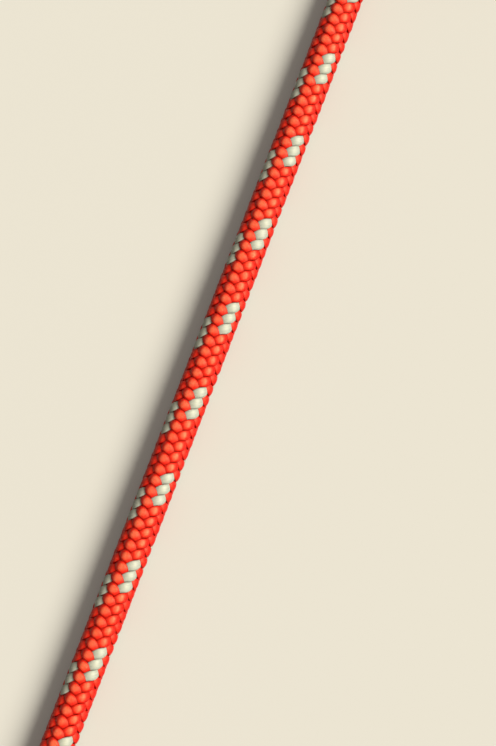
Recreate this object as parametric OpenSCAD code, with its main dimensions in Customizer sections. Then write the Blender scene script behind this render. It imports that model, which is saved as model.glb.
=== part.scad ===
// Kernmantle climbing rope, pulled straight, with a figure-eight stopper knot in each end.
// A braided sheath is drawn as a plain tube round twelve core strands and an identification tape.
// The rope runs along Y and rests on z = 0, with the origin under the middle of its length.
// +Y is the upper end. Millimetres.

/* [Rope] */
// Diameter of the rope over its sheath
rope_d = 10; // [8:0.1:12]
// Thickness of the braided sheath, two yarns deep
sheath_wall = 1.5; // [0.8:0.1:1.8]
// Length of the straight rope between the knots
run_l = 306; // [240:1:600]

/* [Core] */
// Gap between neighbouring core strands
strand_gap = 0.04; // [0.02:0.01:0.1]
// Width of the blank identification tape, as it lies folded
tape_w = 1.0; // [0.6:0.1:1.4]
// Thickness of the identification tape
tape_t = 0.15; // [0.1:0.01:0.2]
// Gap on each side of the tape, to the sheath outside it and to the strands inside it
tape_gap = 0.05; // [0.02:0.01:0.1]

/* [Rope ends] */
// Length of the shrunk sleeve on each end
sleeve_l = 14; // [8:1:20]
// Wall of the shrunk sleeve
sleeve_wall = 0.4; // [0.3:0.1:0.8]
// Gap between the sleeve and the rope inside it
sleeve_gap = 0.1; // [0.05:0.01:0.2]
// Thickness of the fused tip that seals each end
tip_t = 2; // [1:0.5:3]
// Radius of the fused tip's rounded edge
tip_edge_r = 1.2; // [0.4:0.1:3]

/* [Knots] */
// Distance between the axes of two crossing stretches, in rope diameters
crossing_lift = 1.1; // [1.1:0.01:1.2]
// Depth of the flat that the rope's own weight makes where it lies on the ground
flat_depth = 0.5; // [0.2:0.1:0.6]
// Sides of the tube that draws a knotted stretch
tube_sides = 10; // [8:2:12]
// Rings of that tube for each guide point of its route
rings_per_point = 4; // [3:1:5]

/* [Hidden] */
$fn = 64;
rope_r = rope_d / 2;
axis_z = rope_r - flat_depth;
bore_r = rope_r - sheath_wall;
tape_r = bore_r - tape_gap;
core_r = tape_r - tape_t - tape_gap;
upper_y = run_l / 2;

// Core strands: an inner ring of three in an outer ring of nine, each touching its neighbours
// but for strand_gap. outer_k is the outer ring's radius over the spacing of the strands.
inner_count = 3;
outer_count = 9;
strand_count = inner_count + outer_count;
outer_turn = 180 / outer_count;
outer_k = cos(outer_turn) / sqrt(3) + sqrt(pow(cos(outer_turn), 2) / 3 + 2 / 3);
strand_d = (core_r - outer_k * strand_gap) / (outer_k + 0.5);
strand_pitch = strand_d + strand_gap;
strand_places = concat(
    [for (i = [0 : inner_count - 1]) polar(strand_pitch / sqrt(3), 360 * i / inner_count)],
    [for (i = [0 : outer_count - 1]) polar(outer_k * strand_pitch, 360 * i / outer_count + outer_turn)]
);

// Route of a figure-eight knot, laid flat in two levels, as guide points of a cubic B-spline.
// Each is [across, along, level]: the first two in rope diameters, the level 0 on the ground and 1
// above another stretch. The route starts straight, and the rope passes alternately under and over.
first_half = [
    [0, 0, 0],
    [0, 1.5, 0],
    [0, 3, 0],
    [0.4, 4.5, 0.9],
    [1.5, 6, 1.1],
    [2.6, 7.5, 0.8],
    [2.9, 9.5, 0],
    [1.5, 11.5, 0],
    [-1.5, 11.5, 0],
    [-2.9, 9.5, 0.5],
    [-2.5, 7.8, 1],
    [-1.4, 6.9, 1.1]
];
// The middle of the knot, about which its second half is the first one turned and set upside down
middle = [0, 6.4, 0.5];
turned_half = [for (i = [len(first_half) - 1 : -1 : 1])
    [-first_half[i].x, 2 * middle.y - first_half[i].y, 1 - first_half[i].z]];
// The tail comes down from the last crossing until its sleeve clears the ground, and runs straight
// on through that sleeve
tail_level = (sleeve_wall + sleeve_gap + flat_depth) / (crossing_lift * rope_d);
tail_fall = [[0, 12.5, 0.9], [0, 13.5, 0.3], [0, 14.5, tail_level], [0, 15.5, tail_level]];
sleeve_from = 15.1;
tail_end = sleeve_from + sleeve_l / rope_d;
tail_straight = [for (along = [tail_end, 2 * tail_end - tail_fall[3].y]) [0, along, tail_level]];
knot_guides = concat(first_half, [middle], turned_half, tail_fall, tail_straight);
// The route's first place is at its second guide point, where the straight rope ends
knot_from = first_half[1].y;

upper_nodes = ["upper_knot", "upper_end_sleeve", "upper_fused_tip"];
lower_nodes = ["lower_knot", "lower_end_sleeve", "lower_fused_tip"];
strand_nodes = [for (i = [1 : strand_count]) str("core_strand_", i < 10 ? "0" : "", i)];

rope_red = [0.86, 0.2, 0.16];
yarn_white = [0.93, 0.93, 0.9];
sleeve_black = [0.1, 0.1, 0.11];
fused_brown = [0.42, 0.09, 0.07];
tape_blue = [0.3, 0.5, 0.75];

function polar(r, angle) = [r * cos(angle), r * sin(angle)];

// A point of the uniform cubic B-spline of four guide points, t from 0 to 1
function spline_point(g, i, t) =
    (pow(1 - t, 3) * g[i] + (3 * pow(t, 3) - 6 * t * t + 4) * g[i + 1]
    + (-3 * pow(t, 3) + 3 * t * t + 3 * t + 1) * g[i + 2] + pow(t, 3) * g[i + 3]) / 6;

function spline(g, steps) = [
    for (k = [0 : (len(g) - 3) * steps])
        let (i = min(floor(k / steps), len(g) - 4))
        spline_point(g, i, k / steps - i)
];

// From the knot's own units to millimetres at the upper end of the rope
function in_place(p) = [
    p.x * rope_d,
    upper_y + (p.y - knot_from) * rope_d,
    axis_z + max(p.z, 0) * crossing_lift * rope_d
];

function knot_route(steps) = [for (p = spline(knot_guides, steps)) in_place(p)];

function unit(v) = v / norm(v);

// Both ends of a route run straight along Y, and are square to it
function route_direction(route, i) =
    i == 0 || i == len(route) - 1 ? [0, 1, 0] : unit(route[i + 1] - route[i - 1]);

// One ring of the tube round the route's point i, upright and square to the route, and cut flat
// where it would reach below the ground
function ring(route, i) =
    let (
        ahead = route_direction(route, i),
        across = unit(cross(ahead, [0, 0, 1])),
        up = cross(across, ahead)
    )
    [for (s = [0 : tube_sides - 1])
        let (
            angle = 360 * (s + 0.5) / tube_sides - 90,
            p = route[i] + rope_r * (cos(angle) * across + sin(angle) * up)
        )
        [p.x, p.y, max(p.z, 0)]];

module swept_tube(route) {
    last = (len(route) - 1) * tube_sides;
    points = [for (i = [0 : len(route) - 1]) each ring(route, i)];
    sides = [
        for (i = [0 : len(route) - 2], s = [0 : tube_sides - 1])
            let (
                a = i * tube_sides + s,
                b = i * tube_sides + (s + 1) % tube_sides,
                c = a + tube_sides,
                d = b + tube_sides
            )
            each [[a, c, b], [b, c, d]]
    ];
    start_cap = [for (s = [1 : tube_sides - 2]) [0, s, s + 1]];
    end_cap = [for (s = [1 : tube_sides - 2]) [last, last + s + 1, last + s]];
    polyhedron(points, concat(sides, start_cap, end_cap), convexity = 8);
}

// The least gap between two places on a route that are at least that many of its points apart
function least_gap(route, apart) = min([
    for (i = [0 : len(route) - 1 - apart], j = [i + apart : len(route) - 1])
        norm(route[i] - route[j])
]) - rope_d;

module along_rope(length) {
    translate([0, length / 2, axis_z]) rotate([90, 0, 0]) linear_extrude(length) children();
}

module lower_end() {
    rotate([0, 0, 180]) children();
}

module sheath_run() {
    color(rope_red)
        along_rope(run_l)
            difference() {
                circle(rope_r);
                circle(bore_r);
                translate([-rope_d, -axis_z - rope_d]) square([2 * rope_d, rope_d]);
            }
}

module core_strand(i) {
    color(yarn_white)
        along_rope(run_l) translate(strand_places[i]) circle(strand_d / 2);
}

// Lies between the core and the sheath, over the groove between two outer strands
module identification_tape() {
    half_angle = asin(tape_w / 2 / tape_r);
    wedge = 2 * tape_r;
    color(tape_blue)
        along_rope(run_l)
            intersection() {
                difference() {
                    circle(tape_r);
                    circle(tape_r - tape_t);
                }
                polygon([[0, 0], polar(wedge, -half_angle), polar(wedge, half_angle)]);
            }
}

module knot() {
    color(rope_red) swept_tube(knot_route(rings_per_point));
}

// The end of the tail, with +Z pointing out of the rope
module at_tail_end() {
    translate(in_place([0, tail_end, tail_level])) rotate([-90, 0, 0]) children();
}

module end_sleeve() {
    color(sleeve_black)
        at_tail_end()
            translate([0, 0, -sleeve_l])
                linear_extrude(sleeve_l)
                    difference() {
                        circle(rope_r + sleeve_gap + sleeve_wall);
                        circle(rope_r + sleeve_gap);
                    }
}

// Yarn melted into a button with a rounded edge
module fused_tip() {
    edge = min(tip_edge_r, tip_t);
    color(fused_brown)
        at_tail_end()
            rotate_extrude() {
                square([rope_r - edge, tip_t]);
                square([rope_r, tip_t - edge]);
                translate([rope_r - edge, tip_t - edge])
                    intersection() {
                        circle(edge);
                        square(edge);
                    }
            }
}

// A route's points within two guide points of each other are on one bend
gap_steps = 12;
echo(least_gap_in_a_knot_mm = least_gap(knot_route(gap_steps), 2 * gap_steps));

sheath_run();
for (i = [0 : strand_count - 1])
    core_strand(i);
identification_tape();
knot();  // upper_knot
end_sleeve();  // upper_end_sleeve
fused_tip();  // upper_fused_tip
lower_end() knot();  // lower_knot
lower_end() end_sleeve();  // lower_end_sleeve
lower_end() fused_tip();  // lower_fused_tip
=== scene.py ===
"""Looks of a kernmantle climbing rope, pulled straight, with a figure-eight knot in each end.

Sixteen yarns are braided into the sheath, two over and two under. Each yarn is worked out on a
straight rope, by its turn round the rope and its place along it, and then carried onto the rope's
route. Metres and radians.
"""

import math
from dataclasses import dataclass

import bpy
import numpy as np
from mathutils import Matrix, Vector


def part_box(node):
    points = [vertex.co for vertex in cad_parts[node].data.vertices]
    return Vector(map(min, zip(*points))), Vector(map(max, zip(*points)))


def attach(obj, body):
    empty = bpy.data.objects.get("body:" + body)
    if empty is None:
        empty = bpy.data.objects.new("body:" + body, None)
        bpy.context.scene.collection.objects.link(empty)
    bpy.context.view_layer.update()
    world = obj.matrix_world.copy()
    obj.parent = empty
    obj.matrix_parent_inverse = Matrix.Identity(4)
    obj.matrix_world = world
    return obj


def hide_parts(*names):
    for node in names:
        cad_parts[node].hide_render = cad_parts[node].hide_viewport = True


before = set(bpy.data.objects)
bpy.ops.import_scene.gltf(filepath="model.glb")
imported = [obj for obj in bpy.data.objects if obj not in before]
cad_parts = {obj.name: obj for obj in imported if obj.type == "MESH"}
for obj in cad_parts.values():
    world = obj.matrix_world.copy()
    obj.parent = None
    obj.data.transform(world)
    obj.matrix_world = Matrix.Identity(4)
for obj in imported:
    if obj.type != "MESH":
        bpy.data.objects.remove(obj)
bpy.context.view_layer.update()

# The rope, with its flat side on the ground
ROPE_D = 0.010
ROPE_R = ROPE_D / 2
FLAT_DEPTH = 0.0005
AXIS_Z = ROPE_R - FLAT_DEPTH
RUN_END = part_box("sheath_run")[1].y
SLEEVE_L = 0.014
SLEEVE_WALL = 0.0004
SLEEVE_GAP = 0.0001
TIP_T = 0.002

# The knot's route, as guide points of a cubic B-spline: across and along in rope diameters, and
# the level, which is 0 on the ground and 1 above another stretch
CROSSING_LIFT = 1.1
FIRST_HALF = [
    (0, 0, 0),
    (0, 1.5, 0),
    (0, 3, 0),
    (0.4, 4.5, 0.9),
    (1.5, 6, 1.1),
    (2.6, 7.5, 0.8),
    (2.9, 9.5, 0),
    (1.5, 11.5, 0),
    (-1.5, 11.5, 0),
    (-2.9, 9.5, 0.5),
    (-2.5, 7.8, 1),
    (-1.4, 6.9, 1.1),
]
MIDDLE = (0, 6.4, 0.5)
TAIL_LEVEL = (SLEEVE_WALL + SLEEVE_GAP + FLAT_DEPTH) / (CROSSING_LIFT * ROPE_D)
TAIL_FALL = [(0, 12.5, 0.9), (0, 13.5, 0.3), (0, 14.5, TAIL_LEVEL), (0, 15.5, TAIL_LEVEL)]
# Where the tail ends, and how far the route goes on past it, for the tip
TAIL_END = 16.5
BEYOND_END = 0.5
SPLINE_STEPS = 40
PATH_STEP = 0.001

# The braid. Half its yarns rise to the right along the rope, and the others fall, each going once
# round it in one pitch. The floats, where a yarn lies on top, stand in four columns of each family.
# COLUMN_TURN is the turn of one column of the rising family.
PITCH = 2.72 * ROPE_D
FAMILY_YARNS = 8
COLUMNS = 4
COLUMN_TURN = math.radians(28.9)
# The first yarns of the rising family are white, and the very first crosses that column at
# WHITE_PLACE
WHITE_YARNS = 3
WHITE_PLACE = -0.006
# Radius of a yarn's top, of its edges and of its underside, under another yarn and over it
TOP = (0.00406, 0.00527)
EDGE = (0.00398, 0.00480)
BOTTOM = (0.00352, 0.00400)
# Mean radius at which the yarns wind, from which they have their lean
MEAN_R = 0.0043
# A yarn's width as a share of the room beside its neighbours, under another yarn and over it, and
# how much of that it loses halfway between the two
FULLNESS = (1.0, 1.06)
WAIST = 0.06
# 1 for a float that is a smooth hump, and less for one that is flatter on top and steeper at its
# ends
HUMP = 0.58
# 1 for a dome that is half an ellipse, and more for one that falls away sooner to its sides
ROUNDNESS = 1.1
# The most that a float differs from the mean in height and in half width, the seed for that, and
# the number of floats after which a yarn's differences start again
FLOAT_SPREAD = 0.00004
BRAID_SEED = 16
UNEVEN_FLOATS = 97
# Under its sleeve the braid is squeezed to this share of its size, over this length
SQUEEZED = 0.958
SQUEEZE_L = 0.003
# The yarns end this far short of the tail's end, inside the melted tip
SLACK_IN_TIP = 0.0016

# A yarn's mesh: the outline from edge to edge over its dome and back under its belly, the rings for
# each float on the run and in a knot, and how much denser they are on a float
DOME_STEPS = 7
BELLY_STEPS = 2
OVER_DOME = np.linspace(0, math.pi, DOME_STEPS + 1)
UNDER_BELLY = np.linspace(math.pi, math.tau, BELLY_STEPS + 1)[1:-1]
OUTLINE = np.concatenate([OVER_DOME, UNDER_BELLY])
SIDES = len(OUTLINE)
RUN_RINGS = 15
KNOT_RINGS = 10
DENSER = 0.45
# Ring and side of a face's corners, counted from its first corner
CORNER_RING = np.array([0, 0, 1, 1])
CORNER_SIDE = np.array([0, 1, 1, 0])
# Free edge of each row of the map for textures, as a share of the row
ROW_MARGIN = 0.05

# A sleeve's mesh, how far a float shows through it, and how far its ends are drawn in
LATHE_SIDES = 96
SLEEVE_ROWS = 60
RIM_STEPS = 7
SHRUNK_BUMP = 0.00024
DRAWN_IN = 0.0002
# A tip: how far it reaches back under the sleeve, the rise of its dome, its rows along its body and
# round its edge, and the rings across its back and its dome, as shares of their radius
TIP_IN_SLEEVE = 0.002
TIP_DOME = 0.0004
TIP_ROWS = 10
TIP_EDGE_STEPS = 12
BACK_RINGS = (0.02, 0.5, 0.9)
DOME_RINGS = (0.8, 0.6, 0.4, 0.2, 0.02)
# A tip's lumps are waves added up: how far they stand out in all and for each wave, the number of
# waves, the slowest one's lumps round the tip and radians per metre along it, and each tip's seed
TIP_LUMP = 0.00022
LUMP_WAVE = TIP_LUMP / 3
LUMP_WAVES = 6
LUMPS_ROUND = 2
LUMP_RATE = 700
TIP_SEEDS = {"upper": 6, "lower": 4}

# A yarn's colours: painted shade in the hollows between the floats and on its sides, its own
# colour on a float's body, and a painted highlight on its crown, then how far light spreads in it
# by colour, and the tint of its gloss
RED_YARN = {
    "deep": (0.6, 0.003, 0.001),
    "body": (0.86, 0.022, 0.01),
    "painted_highlight": (1, 0.17, 0.08),
    "spread": (1, 0.03, 0.02),
    "gloss": (1, 0.75, 0.5),
}
WHITE_YARN = {
    "deep": (0.42, 0.45, 0.39),
    "body": (0.49, 0.52, 0.45),
    "painted_highlight": (0.54, 0.56, 0.47),
    "spread": (0.4, 0.4, 0.35),
    "gloss": (1, 1, 1),
}
# How far out on a float each of the three colours is, from 0 in the hollows, painted in shade, to 1
# on the crown, painted with a highlight
COLOUR_STOPS = (0.35, 0.75, 1)
# That counts in full where the surface's normal is steeper than the second of these, and only by
# this share where it is flatter than the first, so the painted highlight is on the faces that look
# up and the sides are painted darker, as if in shade
FACING_UP = (0.5, 0.9)
SIDEWAYS = 0.3
# Filaments: the noise's scale per metre along a yarn and per turn round it, the range of its values
# from the darkest streak to none, that streak's brightness, and the relief's strength and depth
FILAMENTS = (260, 34, 1)
STREAK_RANGE = (0.25, 0.7)
STREAK_DARKEST = 0.72
FILAMENT_RELIEF = (0.5, 0.0001)
# Where most of a noise's values lie
NOISE_RANGE = (0.3, 0.7)

# The view: the picture is 496 by 746 pixels, and the rope passes through it leaning to the right.
# The camera looks down, a little from below the picture's foot.
PICTURE_H = 746
PX_PER_M = 3352
AXIS_LEAN = math.radians(20.78)
# The picture's centre lies this far to the right of the rope's middle
CENTRE_ASIDE_PX = 46.5
VIEW_TILT = math.radians(7.2)
VIEW_DISTANCE = 0.57
NEAREST_SEEN = 0.01
# In millimetres
SENSOR = 36
LENS = VIEW_DISTANCE * SENSOR * PX_PER_M / PICTURE_H
RIGHT = Vector((math.cos(AXIS_LEAN), math.sin(AXIS_LEAN), 0))
UPWARD = Vector((-math.sin(AXIS_LEAN), math.cos(AXIS_LEAN), 0))
UP = Vector((0, 0, 1))

# A wide soft light from the picture's right, even all over the floor, and a weak one from the whole
# sky, which fades in from the horizon to the height HORIZON
KEY_FROM = RIGHT * 0.74 + UPWARD * 0.04 + UP * 0.68
KEY_STRENGTH = 5.6
KEY_WIDTH = math.radians(33)
KEY_COLOUR = (1, 0.94, 0.8)
FILL_STRENGTH = 0.3
FILL_COLOUR = (1, 0.88, 0.73)
HORIZON = 0.05
BACKDROP = (0.75, 0.75, 0.73)
# The floor is just below the rope's flat side. Its glow keeps the shadows on it soft, and doesn't
# light the rope.
FLOOR_HALF = 40
FLOOR_Z = -0.0002
FLOOR_GLOW = 0.07


def mix(pair, share):
    """The first of the pair for a share of 0, and the second for 1"""
    return pair[0] + (pair[1] - pair[0]) * share


def smooth_step(t):
    t = np.clip(t, 0, 1)
    return t * t * (3 - 2 * t)


def knot_guides():
    """Guide points of the upper knot. Its second half is the first one turned about the middle and
    set upside down."""
    turned = [(-x, 2 * MIDDLE[1] - y, 1 - level) for x, y, level in FIRST_HALF[:0:-1]]
    tail = [(0, y, TAIL_LEVEL) for y in (TAIL_END, 2 * TAIL_END - TAIL_FALL[-1][1])]
    return np.array(FIRST_HALF + [MIDDLE] + turned + TAIL_FALL + tail)


def spline(guides, steps):
    """Points of the uniform cubic B-spline of the guide points"""
    t = np.arange(steps)[:, None] / steps
    weights = [(1 - t) ** 3, 3 * t**3 - 6 * t**2 + 4, -3 * t**3 + 3 * t**2 + 3 * t + 1, t**3]
    pieces = [
        sum(w * g for w, g in zip(weights, guides[i : i + 4])) / 6 for i in range(len(guides) - 3)
    ]
    end = (guides[-3] + 4 * guides[-2] + guides[-1]) / 6
    return np.vstack([*pieces, end])


def upper_route():
    """The knot at the upper end, from the straight run to the tail's end, in metres. Its first
    place is at the route's second guide point."""
    across, along, level = spline(knot_guides(), SPLINE_STEPS).T
    x = across * ROPE_D
    y = RUN_END + (along - FIRST_HALF[1][1]) * ROPE_D
    z = AXIS_Z + np.maximum(level, 0) * CROSSING_LIFT * ROPE_D
    return np.stack([x, y, z], axis=1)


class Route:
    """The rope's centreline from the lower tail to the upper one. Places along it are metres from
    the middle of the rope. Each has three directions: ahead, across and up."""

    def __init__(self):
        upper = upper_route()
        lower = upper[::-1] * (-1, -1, 1)
        beyond = (0, BEYOND_END * ROPE_D, 0)
        self.points = np.vstack([lower[:1] - beyond, lower, upper, upper[-1:] + beyond])
        gone = np.cumsum(np.linalg.norm(np.diff(self.points, axis=0), axis=1))
        self.places = np.concatenate([[0], gone]) - gone[-1] / 2
        ahead = np.gradient(self.points, self.places, axis=0)
        ahead /= np.linalg.norm(ahead, axis=1)[:, None]
        across = np.cross(ahead, (0, 0, 1))
        self.across = across / np.linalg.norm(across, axis=1)[:, None]
        self.up = np.cross(self.across, ahead)
        self.tail_end = self.places[-2]
        self.sleeve_start = self.tail_end - SLEEVE_L

    def at(self, places):
        """Centre, across and up at these places"""
        return [
            np.stack([np.interp(places, self.places, rows[:, k]) for k in range(3)], axis=-1)
            for rows in (self.points, self.across, self.up)
        ]

    def squeeze(self, places):
        """The rope's size as a share of its free size, less where a sleeve has shrunk onto it"""
        within = (np.abs(places) - self.sleeve_start) / SQUEEZE_L + 1
        return mix((1, SQUEEZED), smooth_step(within))

    def carry(self, turn, radius, places):
        """From a straight rope onto the route, and nowhere below the ground. turn is the angle from
        up towards across."""
        centre, across, up = self.at(places)
        out = np.sin(turn)[..., None] * across + np.cos(turn)[..., None] * up
        points = centre + radius[..., None] * out
        points[..., 2] = np.maximum(points[..., 2], 0)
        return points

    def stretch(self, first, last):
        """The points of the centreline between two places"""
        count = math.ceil((last - first) / PATH_STEP)
        return self.at(np.linspace(first, last, count + 1))[0]


@dataclass(frozen=True)
class Family:
    """The eight yarns that wind one way round the rope. sign is 1 where they rise to the right, and
    -1 where they fall. start is the turn of the first yarn at the middle of the rope. float_turn
    shifts the wave that each yarn makes, so that one family's floats stand between the other's. The
    wave is 1 in the middle of a float and -1 where the yarn lies deepest. flatter is how much
    flatter than its mean lean a yarn lies on a float, as a share of that, and the float's hump ends
    where the wave is -reach."""

    sign: int
    start: float
    float_turn: float
    flatter: float
    reach: float

    def turn(self, number, places):
        return self.sign * math.tau * places / PITCH + math.tau * number / FAMILY_YARNS + self.start

    def phase(self, turn):
        """0 in the middle of a yarn's float, and half a turn where it lies deepest"""
        return COLUMNS * (turn - COLUMN_TURN) + self.float_turn


RISING_START = COLUMN_TURN - math.tau * WHITE_PLACE / PITCH
# The families cross an eighth of a column's spacing either side of a column's middle
FALLING_START = 2 * (COLUMN_TURN + math.tau / (4 * FAMILY_YARNS)) - RISING_START
RISING = Family(1, RISING_START, float_turn=0, flatter=0.36, reach=0.58)
FALLING = Family(-1, FALLING_START, float_turn=math.pi, flatter=0.46, reach=0.42)
FAMILIES = (RISING, FALLING)


def ring_places(family, number, first, last, steps):
    """Places of a yarn's rings, denser on its floats"""
    even = np.linspace(first, last, steps + 1)
    period = PITCH / COLUMNS
    fade = np.clip(np.minimum(even - first, last - even) / period, 0, 1)
    phase = family.phase(family.turn(number, even))
    return even - family.sign * fade * DENSER * period / math.tau * np.sin(phase)


def yarn_radius(arch, over, higher):
    """How far the points of a yarn's rings lie from the rope's centreline, by ring and side. Both
    arch and over are 1 in the middle of a float. over sinks smoothly to 0 where the yarn lies
    deepest, and arch is 0 from the ends of the float's hump on."""
    top = mix(TOP, arch) + higher
    edge = mix(EDGE, arch)
    bottom = mix(BOTTOM, over)
    rise = np.sin(OUTLINE)
    dome = (top - edge)[:, None] * np.abs(rise) ** ROUNDNESS
    belly = (edge - bottom)[:, None] * rise
    return edge[:, None] + np.where(rise > 0, dome, belly)


def yarn_rings(route, family, number, places, unevenness):
    """Points of the rings of one yarn, by ring and side, and how far out each lies, 0 to 1"""
    turn = family.turn(number, places)
    phase = family.phase(turn)
    wave = np.cos(phase)
    over = (1 + wave * (1.5 - 0.5 * wave**2)) / 2
    arch = np.clip((wave + family.reach) / (1 + family.reach), 0, 1) ** HUMP
    nth_float = np.round(phase / math.tau).astype(int)
    higher, wider = FLOAT_SPREAD * over * unevenness[:, nth_float % UNEVEN_FLOATS]

    radius = yarn_radius(arch, over, higher)
    crown = np.clip((radius - EDGE[0]) / (TOP[1] - EDGE[0]), 0, 1)
    lean = np.arctan2(PITCH * (1 - family.flatter * wave), math.tau * MEAN_R)
    shift = family.flatter * PITCH / (COLUMNS * math.tau) * np.sin(phase)
    fullness = mix(FULLNESS, over) - WAIST * np.sin(phase) ** 2
    half_width = PITCH / FAMILY_YARNS / 2 * np.cos(lean) * fullness + wider
    aside = half_width[:, None] * np.cos(OUTLINE)
    points = route.carry(
        turn[:, None] - family.sign * np.sin(lean)[:, None] * aside / MEAN_R,
        radius * route.squeeze(places)[:, None],
        (places - family.sign * shift)[:, None] + np.cos(lean)[:, None] * aside,
    )
    return points.reshape(-1, 3), crown.ravel()


def float_height(turn, place):
    """How high the braid stands there, from 0 in its hollows to 1 on its floats"""
    heights = []
    for family in FAMILIES:
        number = (turn - family.turn(0, place)) * FAMILY_YARNS / math.tau
        on_yarn = (1 + np.cos(math.tau * number)) / 2
        heights.append(np.clip(np.cos(family.phase(turn)), 0, 1) * on_yarn)
    return np.maximum(*heights)


def tube_quads(rings, sides, looped=False):
    """Corners of the faces between a tube's rings, and from its last to its first if looped"""
    count = rings if looped else rings - 1
    ring, side = np.meshgrid(np.arange(count), np.arange(sides), indexing="ij")
    corner_ring = (ring[..., None] + CORNER_RING) % rings
    corner_side = (side[..., None] + CORNER_SIDE) % sides
    return (corner_ring * sides + corner_side).reshape(-1, 4)


def tube_caps(rings, sides):
    """Corners of the two faces that close a tube's ends"""
    first = np.arange(sides)
    return np.stack([first[::-1], (rings - 1) * sides + first])


def mesh_piece(name, points, faces, materials):
    """A piece of the rope's one body. Its faces of four corners are smooth, and its caps flat."""
    mesh = bpy.data.meshes.new(name)
    mesh.from_pydata(points.tolist(), [], faces)
    mesh.polygons.foreach_set("use_smooth", [len(face) == 4 for face in faces])
    for material in materials:
        mesh.materials.append(material)
    piece = bpy.data.objects.new(name, mesh)
    bpy.context.scene.collection.objects.link(piece)
    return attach(piece, "root")


def braid(name, route, first, last, rings_per_float, yarns):
    """A stretch of the sheath, its sixteen yarns in one mesh, each closed at both ends. yarns are
    the materials of the red ones and of the white ones."""
    steps = math.ceil((last - first) / PITCH * COLUMNS * rings_per_float)
    quads, caps = tube_quads(steps + 1, SIDES), tube_caps(steps + 1, SIDES)
    random = np.random.default_rng(BRAID_SEED)
    points, crowns, faces, white = [], [], [], []
    for family in FAMILIES:
        for number in range(FAMILY_YARNS):
            unevenness = random.uniform(-1, 1, (2, UNEVEN_FLOATS))
            places = ring_places(family, number, first, last, steps)
            yarn, crown = yarn_rings(route, family, number, places, unevenness)
            before = len(points) * len(yarn)
            points.append(yarn)
            crowns.append(crown)
            # The rings of a falling yarn go round the other way, and so do its faces
            for part in (quads, caps):
                faces += (before + part[:, :: family.sign]).tolist()
            is_white = family is RISING and number < WHITE_YARNS
            white += [is_white] * (len(quads) + len(caps))
    piece = mesh_piece(name, np.vstack(points), faces, yarns)
    mesh = piece.data
    mesh.polygons.foreach_set("material_index", np.array(white, int))
    mesh.attributes.new("crown", "FLOAT", "POINT").data.foreach_set("value", np.concatenate(crowns))
    add_yarn_map(mesh, steps, (last - first) / steps)
    add_bake_map(mesh, steps)
    return piece


def face_places(steps):
    """Ring and side of the first corner of each face of a yarn, in the order of its faces"""
    ring = np.repeat(np.arange(steps), SIDES)
    side = np.tile(np.arange(SIDES), steps)
    return ring[:, None], side[:, None]


def add_map(mesh, name, yarns):
    """A UV map, from the corners of the sides and of the caps of each yarn"""
    corners = []
    for nth, (sides, caps) in enumerate(yarns):
        sign = FAMILIES[nth // FAMILY_YARNS].sign
        corners += [sides[:, ::sign].reshape(-1, 2), caps]
    layer = mesh.uv_layers.new(name=name)
    layer.uv.foreach_set("vector", np.vstack(corners).astype(np.float32).ravel())


def add_yarn_map(mesh, steps, step_l):
    """A UV map that runs along each yarn in metres and round it from 0 to 1"""
    ring, side = face_places(steps)
    sides = np.stack([(ring + CORNER_RING) * step_l, (side + CORNER_SIDE) / SIDES], axis=-1)
    caps = np.zeros((2 * SIDES, 2))
    add_map(mesh, "yarn", [(sides, caps)] * (2 * FAMILY_YARNS))


def add_bake_map(mesh, steps):
    """A UV map for textures: each yarn lies along two rows of the square, half of it in each"""
    ring, side = face_places(steps)
    half = math.ceil(steps / 2)
    row, in_row = np.divmod(ring, half)
    u = (in_row + CORNER_RING) / half
    v = row + ROW_MARGIN + (1 - 2 * ROW_MARGIN) * (side + CORNER_SIDE) / SIDES
    cap_u = np.repeat([0, (steps - half) / half], SIDES)
    cap_v = np.concatenate([np.linspace(0, 1, SIDES), np.linspace(1, 2, SIDES)])
    sides, caps = np.stack([u, v], axis=-1), np.stack([cap_u, cap_v], axis=-1)
    whole = (1, 4 * FAMILY_YARNS)
    places = [(0, 2 * nth) for nth in range(2 * FAMILY_YARNS)]
    add_map(mesh, "OFBake", [((sides + at) / whole, (caps + at) / whole) for at in places])


def lathed(name, route, sign, profile, bump, material, looped=False):
    """A piece on the end of the upper tail, or of the lower one, whose sign is -1. The profile is
    rows of place along the tail and radius, and bump adds to each radius, from the turn, the row
    and the place. A profile that isn't looped starts and ends near the axis."""
    turns = np.linspace(0, math.tau, LATHE_SIDES, endpoint=False)
    rows = len(profile)
    turn, row = np.meshgrid(turns, np.arange(rows))
    place = np.broadcast_to(profile[:, :1], turn.shape)
    radius = profile[:, 1:] + bump(turn, row, place)
    points = route.carry(sign * turn, radius, sign * place).reshape(-1, 3)
    faces = tube_quads(rows, LATHE_SIDES, looped).tolist()
    if not looped:
        faces += tube_caps(rows, LATHE_SIDES).tolist()
    return mesh_piece(name, points, faces, [material])


def arc(centre, radius, first, last, steps):
    """Rows of place and radius round part of a circle, in degrees from the place axis"""
    angle = np.radians(np.linspace(first, last, steps))
    rows = [centre[0] + radius * np.cos(angle), centre[1] + radius * np.sin(angle)]
    return np.stack(rows, axis=1)


def level_rows(places, radius):
    """Rows of place and radius, all at one radius"""
    return np.stack([places, np.full(len(places), radius)], axis=1)


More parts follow.
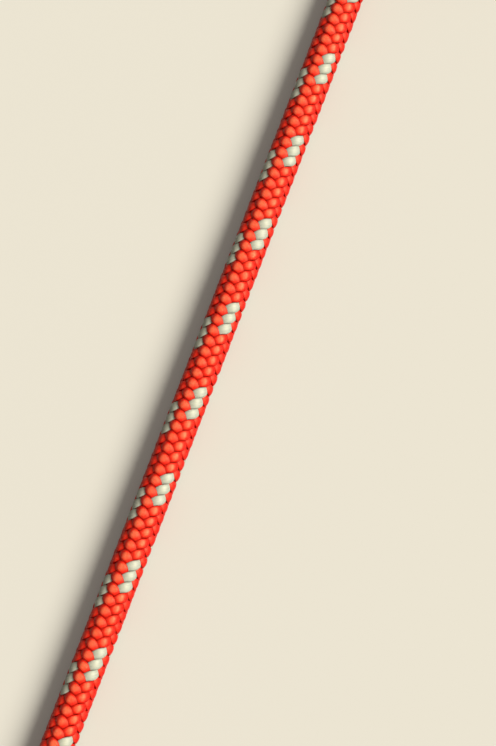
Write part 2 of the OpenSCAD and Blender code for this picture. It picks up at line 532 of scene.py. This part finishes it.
def make_sleeve(name, route, sign, material):
    """A sleeve shrunk onto the end, which shows the braid under it"""
    inner, outer = ROPE_R, ROPE_R + SLEEVE_GAP + SLEEVE_WALL - SHRUNK_BUMP
    rim = (outer - inner) / 2
    first, last = route.sleeve_start, route.tail_end
    # Room for the rims at both ends
    places = np.linspace(first + 2 * rim, last - 2 * rim, SLEEVE_ROWS)
    profile = np.vstack(
        [
            level_rows(places, outer),
            arc((last - rim, outer - rim), rim, 90, -90, RIM_STEPS),
            level_rows(places[::-1], inner),
            arc((first + rim, inner + rim), rim, 270, 90, RIM_STEPS),
        ]
    )

    def bump(turn, row, place):
        inward = smooth_step(np.minimum(place - first, last - place) / SQUEEZE_L)
        braid_under = SHRUNK_BUMP * inward * float_height(sign * turn, sign * place)
        return np.where(row < SLEEVE_ROWS, braid_under, 0) - DRAWN_IN * (1 - inward)

    return lathed(name, route, sign, profile, bump, material, looped=True)


def make_tip(name, route, sign, material, seed):
    """The yarns' ends, melted into a lumpy button"""
    phases = np.random.default_rng(seed).uniform(0, math.tau, (LUMP_WAVES, 2))
    start, end = route.tail_end - TIP_IN_SLEEVE, route.tail_end + TIP_T - TIP_DOME
    body_r = ROPE_R - TIP_LUMP
    edge_r = TIP_T - 2 * TIP_DOME
    face_r = body_r - edge_r
    profile = np.vstack(
        [
            [(start, body_r * share) for share in BACK_RINGS],
            level_rows(np.linspace(start, end - edge_r, TIP_ROWS), body_r),
            arc((end - edge_r, face_r), edge_r, 90, 0, TIP_EDGE_STEPS)[1:],
            [(end + TIP_DOME * (1 - share**2), face_r * share) for share in DOME_RINGS],
        ]
    )

    def bump(turn, row, place):
        lumps = sum(
            np.sin((LUMPS_ROUND + k) * turn + round_phase)
            * np.sin(LUMP_RATE * (k + 1) * (place - start) + along_phase)
            for k, (round_phase, along_phase) in enumerate(phases)
        )
        return LUMP_WAVE * lumps * np.clip(profile[row, 1] / body_r, 0, 1)

    return lathed(name, route, sign, profile, bump, material)


def new_material(name):
    """A material with nodes, and its shader"""
    material = bpy.data.materials.new(name)
    material.use_nodes = True
    return material, material.node_tree.nodes["Principled BSDF"]


def set_inputs(node, values):
    for name, value in values.items():
        node.inputs[name].default_value = value


def add_node(tree, kind, inputs=None, **settings):
    """A shader node of this kind, with its inputs' values and its settings"""
    node = tree.nodes.new("ShaderNode" + kind)
    for name, value in settings.items():
        setattr(node, name, value)
    set_inputs(node, inputs or {})
    return node


def wire(source, output, target, socket):
    """Links an output of a node to an input of another"""
    source.id_data.links.new(source.outputs[output], target.inputs[socket])


def add_ramp(tree, stops):
    """A colour ramp through these stops, each a position and a colour"""
    ramp = add_node(tree, "ValToRGB")
    elements = ramp.color_ramp.elements
    for element, (position, colour) in zip(elements, (stops[0], stops[-1])):
        element.position = position
        element.color = (*colour, 1)
    for position, colour in stops[1:-1]:
        elements.new(position).color = (*colour, 1)
    return ramp


def add_relief(noise, shader, strength, depth):
    """Lets the surface stand out where the noise is high"""
    bump = add_node(noise.id_data, "Bump", {"Strength": strength, "Distance": depth})
    wire(noise, "Fac", bump, "Height")
    wire(bump, "Normal", shader, "Normal")


def add_painted_light(tree):
    """How much painted highlight, rather than painted shade, a yarn has: by how far out it lies,
    and less where it doesn't face upwards
    """
    crown = add_node(tree, "Attribute", attribute_name="crown")
    facing = add_node(tree, "NewGeometry")
    split = add_node(tree, "SeparateXYZ")
    limits = {"From Min": FACING_UP[0], "From Max": FACING_UP[1], "To Min": SIDEWAYS}
    upward = add_node(tree, "MapRange", limits)
    painted_light_share = add_node(tree, "Math", operation="MULTIPLY")
    wire(facing, "Normal", split, "Vector")
    wire(split, "Z", upward, "Value")
    wire(upward, "Result", painted_light_share, 0)
    wire(crown, "Fac", painted_light_share, 1)
    return painted_light_share


def add_filaments(tree):
    """A noise drawn out along each yarn"""
    where = add_node(tree, "UVMap", uv_map="yarn")
    drawn_out = add_node(tree, "Mapping", {"Scale": FILAMENTS})
    filaments = add_node(tree, "TexNoise", {"Scale": 1, "Detail": 3})
    wire(where, "UV", drawn_out, "Vector")
    wire(drawn_out, "Vector", filaments, "Vector")
    return filaments


def yarn_material(name, deep, body, painted_highlight, spread, gloss):
    """Nylon yarn: fine filaments that run along it, painted shade between the floats and a painted
    highlight on their crowns, stronger where they face upwards"""
    material, shader = new_material(name)
    tree = material.node_tree
    painted_light_share, filaments = add_painted_light(tree), add_filaments(tree)
    # Painted shade in the hollows and on the sides, the yarn's own colour on a float's body, and a
    # painted highlight on the crowns that face up
    colour = add_ramp(tree, list(zip(COLOUR_STOPS, (deep, body, painted_highlight))))
    greys = [(brightness,) * 3 for brightness in (STREAK_DARKEST, 1)]
    streaks = add_ramp(tree, list(zip(STREAK_RANGE, greys)))
    both = add_node(tree, "Mix", {"Factor": 1}, data_type="RGBA", blend_type="MULTIPLY")
    wire(painted_light_share, "Value", colour, "Fac")
    wire(filaments, "Fac", streaks, "Fac")
    wire(colour, "Color", both, "A")
    wire(streaks, "Color", both, "B")
    wire(both, "Result", shader, "Base Color")
    add_relief(filaments, shader, *FILAMENT_RELIEF)
    finish = {
        "Roughness": 0.5,
        "Subsurface Weight": 0.6,
        "Subsurface Radius": spread,
        "Subsurface Scale": 0.0012,
        "Specular IOR Level": 0.4,
        "Specular Tint": (*gloss, 1),
    }
    set_inputs(shader, finish)
    return material


def uneven_material(name, colours, roughness, noise_scale, depth=None):
    """A finish that varies between two colours or more, with a relief if it has a depth"""
    material, shader = new_material(name)
    tree = material.node_tree
    noise = add_node(tree, "TexNoise", {"Scale": noise_scale, "Detail": 4})
    positions = [mix(NOISE_RANGE, k / (len(colours) - 1)) for k in range(len(colours))]
    colour = add_ramp(tree, list(zip(positions, colours)))
    wire(noise, "Fac", colour, "Fac")
    wire(colour, "Color", shader, "Base Color")
    if depth:
        add_relief(noise, shader, 1, depth)
    set_inputs(shader, {"Roughness": roughness})
    return material


def make_ends(route):
    """The sleeve and the tip on the end of each tail, by side"""
    blacks = [(0.01, 0.01, 0.012), (0.016, 0.016, 0.018), (0.032, 0.032, 0.035)]
    melted = [(0.07, 0.004, 0.003), (0.4, 0.015, 0.01), (0.34, 0.2, 0.15)]
    shrunk = uneven_material("end_sleeve", blacks, roughness=0.42, noise_scale=700, depth=0.00004)
    fused = uneven_material("fused_tip", melted, roughness=0.18, noise_scale=500, depth=0.00015)
    ends = {}
    for side, sign in (("upper", 1), ("lower", -1)):
        sleeve = make_sleeve("shrunk_sleeve_" + side, route, sign, shrunk)
        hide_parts(side + "_end_sleeve")
        tip = make_tip("melted_tip_" + side, route, sign, fused, TIP_SEEDS[side])
        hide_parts(side + "_fused_tip")
        ends[side] = [sleeve, tip]
    return ends


def make_cords(route, yarns, ends):
    """The braid on the run and through each knot, as three pieces"""
    yarn_end = route.tail_end - SLACK_IN_TIP
    for node, exit_y, first, last, rings_per_float, far_end, with_pieces in (
        ("sheath_run", -RUN_END, -RUN_END, RUN_END, RUN_RINGS, "object", []),
        ("upper_knot", RUN_END, RUN_END, yarn_end, KNOT_RINGS, "knot", ends["upper"]),
        ("lower_knot", -RUN_END, -yarn_end, -RUN_END, KNOT_RINGS, "knot", ends["lower"]),
    ):
        piece = braid("braided_" + node, route, first, last, rings_per_float, yarns)
        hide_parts(node)
        route.stretch(first, last)


def finish_inside():
    """The CAD nodes inside the sheath stay, each kind with a finish of its own"""
    whites = [(0.7, 0.7, 0.66), (0.86, 0.86, 0.82)]
    blues = [(0.24, 0.42, 0.66), (0.3, 0.5, 0.75)]
    finishes = {
        "core_strand": uneven_material("core_yarn", whites, roughness=0.7, noise_scale=900),
        "identification_tape": uneven_material("tape", blues, roughness=0.4, noise_scale=200),
    }
    for name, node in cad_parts.items():
        for kind, material in finishes.items():
            if name.startswith(kind):
                node.data.materials.clear()
                node.data.materials.append(material)


def pointed(name, data, place, target):
    """Adds a camera or light at place that looks at target, with the picture's top upwards"""
    back = (place - target).normalized()
    right = UPWARD.cross(back).normalized()
    thing = bpy.data.objects.new(name, data)
    bpy.context.scene.collection.objects.link(thing)
    thing.location = place
    thing.rotation_mode = "QUATERNION"
    axes = Matrix((right, back.cross(right), back)).transposed()
    thing.rotation_quaternion = axes.to_quaternion()
    return thing


def make_camera():
    data = bpy.data.cameras.new("view")
    data.sensor_fit = "VERTICAL"
    data.sensor_height = SENSOR
    data.sensor_width = SENSOR
    data.lens = LENS
    data.clip_start = NEAREST_SEEN
    target = UP * AXIS_Z + RIGHT * (CENTRE_ASIDE_PX / PX_PER_M)
    back = UP * math.cos(VIEW_TILT) - UPWARD * math.sin(VIEW_TILT)
    bpy.context.scene.camera = pointed("view", data, target + back * VIEW_DISTANCE, target)


def make_floor():
    mesh = bpy.data.meshes.new("floor")
    signs = [(-1, -1), (1, -1), (1, 1), (-1, 1)]
    corners = [(x * FLOOR_HALF, y * FLOOR_HALF, 0) for x, y in signs]
    mesh.from_pydata(corners, [], [(0, 1, 2, 3)])
    greys = [(0.51, 0.51, 0.49), (0.54, 0.54, 0.52)]
    material = uneven_material("floor", greys, roughness=0.9, noise_scale=3)
    shader = material.node_tree.nodes["Principled BSDF"]
    set_inputs(shader, {"Emission Color": (*BACKDROP, 1), "Emission Strength": FLOOR_GLOW})
    mesh.materials.append(material)
    floor = bpy.data.objects.new("floor", mesh)
    floor.location = (0, 0, FLOOR_Z)
    floor.visible_diffuse = False
    bpy.context.scene.collection.objects.link(floor)


def make_key_light():
    data = bpy.data.lights.new("key", "SUN")
    data.energy = KEY_STRENGTH
    data.angle = KEY_WIDTH
    data.color = KEY_COLOUR
    pointed("key", data, KEY_FROM, Vector((0, 0, 0)))


def make_sky():
    """A weak light from the whole sky, and a plain backdrop that only the camera sees"""
    world = bpy.data.worlds.new("soft")
    world.use_nodes = True
    tree = world.node_tree
    fill = tree.nodes["Background"]
    set_inputs(fill, {"Strength": FILL_STRENGTH})
    where = add_node(tree, "TexCoord")
    split = add_node(tree, "SeparateXYZ")
    height = add_ramp(tree, [(0, (0, 0, 0)), (HORIZON, FILL_COLOUR)])
    seen = add_node(tree, "Background", {"Color": (*BACKDROP, 1)})
    path = add_node(tree, "LightPath")
    either = add_node(tree, "MixShader")
    wire(where, "Generated", split, "Vector")
    wire(split, "Z", height, "Fac")
    wire(height, "Color", fill, "Color")
    wire(path, "Is Camera Ray", either, "Fac")
    wire(fill, "Background", either, 1)
    wire(seen, "Background", either, 2)
    wire(either, "Shader", tree.nodes["World Output"], "Surface")
    bpy.context.scene.world = world
    bpy.context.scene.view_settings.view_transform = "Standard"


make_camera()
route = Route()
yarns = [yarn_material("red_yarn", **RED_YARN), yarn_material("white_yarn", **WHITE_YARN)]
make_cords(route, yarns, make_ends(route))
finish_inside()
make_floor()
make_key_light()
make_sky()
